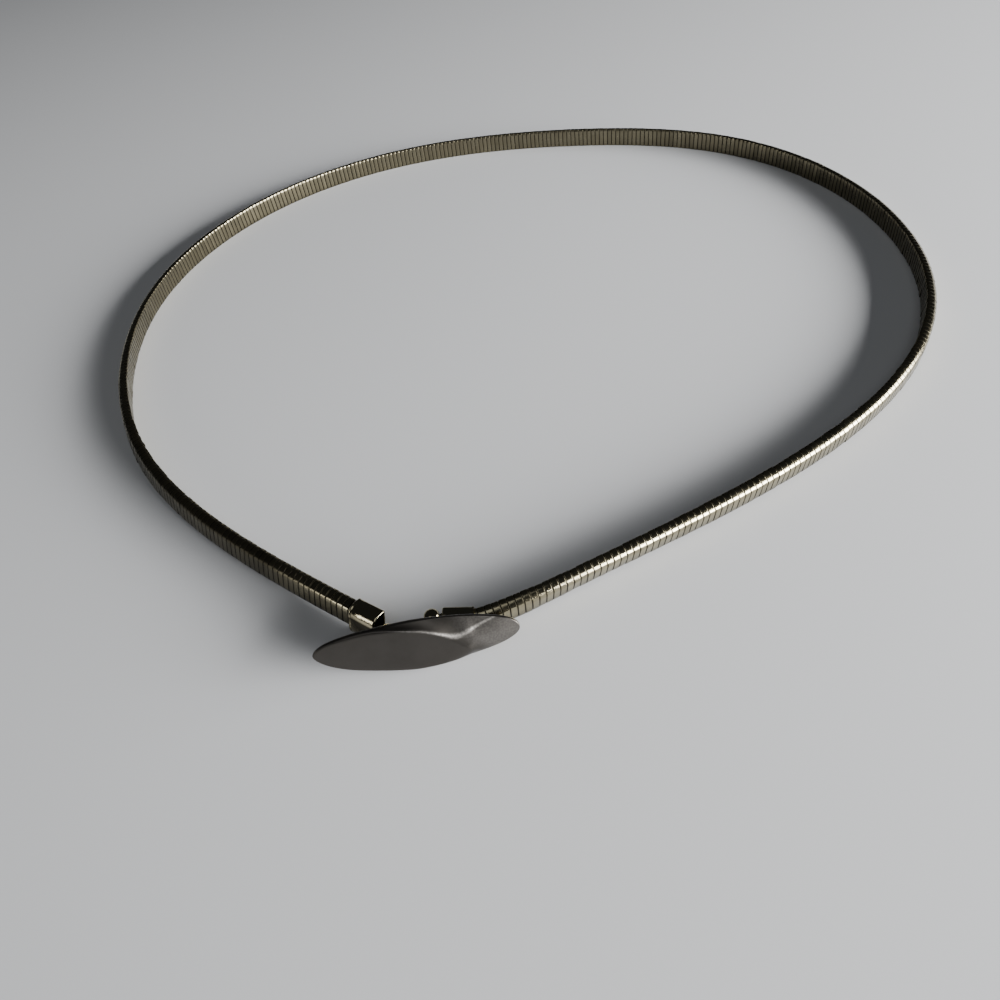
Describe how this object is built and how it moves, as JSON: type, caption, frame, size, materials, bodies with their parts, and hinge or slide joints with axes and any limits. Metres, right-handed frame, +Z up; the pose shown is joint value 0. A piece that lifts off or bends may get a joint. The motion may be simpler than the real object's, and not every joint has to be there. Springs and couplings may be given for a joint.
{
  "type": "metal stretch belt",
  "caption": "Stretch waist belt of springy ribbed metal coil band, lying as a closed loop, with a capped end at each side of an oval leaf-shaped metal buckle plate",
  "frame": {"origin": "Middle of the footprint of the whole closed belt, on the surface that it lies on.", "axes": "+Z up. The band stands on its lower edge round the waist opening, the buckle plate faces -Y, and +X points to the right when facing the buckle. Z is the short way."},
  "size_m": [0.2382, 0.2294, 0.0106],
  "materials": {
    "pale_gold": "polished pale gold tone plating on springy coil",
    "bright_gold": "mirror polished gold tone",
    "satin_gold": "satin gold tone, worn to a soft taupe grey"
  },
  "bodies": {
    "root": {"coil_band": "pale_gold", "ferrule_left": "bright_gold", "ferrule_right": "bright_gold", "buckle_plate": "satin_gold", "swivel_pin": "bright_gold", "hook": "bright_gold"}
  },
  "joints": []
}
